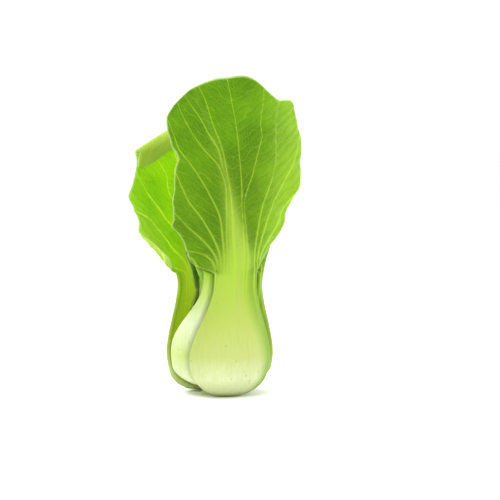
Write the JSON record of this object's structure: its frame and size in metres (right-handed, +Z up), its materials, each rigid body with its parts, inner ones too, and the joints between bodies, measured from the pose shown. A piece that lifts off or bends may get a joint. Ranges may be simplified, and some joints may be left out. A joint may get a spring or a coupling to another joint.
{
  "type": "bok choy",
  "caption": "Small head of green-stalked bok choy: thick pale clasping stalks round a cut stem core, with broad green waved blades above, standing on its flat cut base.",
  "frame": {"origin": "centre of the flat cut under the stem core, on the surface that the head stands on", "axes": "+Z up along the head, from the cut base to the leaf tips; -Y towards the front leaf; +X to the right seen from the front"},
  "size_m": [0.1094, 0.0939, 0.2],
  "materials": {
    "pale_stalk": "smooth waxy plant skin, satin, pale green turning nearly white towards the base",
    "green_blade": "fresh leaf, softly glossy, bright mid green with a fan of pale veins",
    "cut_stem": "cut plant flesh, matt, cream to pale green"
  },
  "bodies": {
    "root": {"stem_core": "cut_stem", "front_leaf_stalk": "pale_stalk", "front_leaf_blade": "green_blade", "back_left_leaf_stalk": "pale_stalk", "back_left_leaf_blade": "green_blade", "right_leaf_stalk": "pale_stalk", "right_leaf_blade": "green_blade", "left_leaf_stalk": "pale_stalk", "left_leaf_blade": "green_blade", "back_leaf_stalk": "pale_stalk", "back_leaf_blade": "green_blade", "inner_front_leaf_stalk": "pale_stalk", "inner_front_leaf_blade": "green_blade", "inner_right_leaf_stalk": "pale_stalk", "inner_right_leaf_blade": "green_blade", "inner_left_leaf_stalk": "pale_stalk", "inner_left_leaf_blade": "green_blade", "inner_back_leaf_stalk": "pale_stalk", "inner_back_leaf_blade": "green_blade", "heart_leaf_left_stalk": "pale_stalk", "heart_leaf_left_blade": "green_blade", "heart_leaf_right_stalk": "pale_stalk", "heart_leaf_right_blade": "green_blade"}
  },
  "joints": []
}
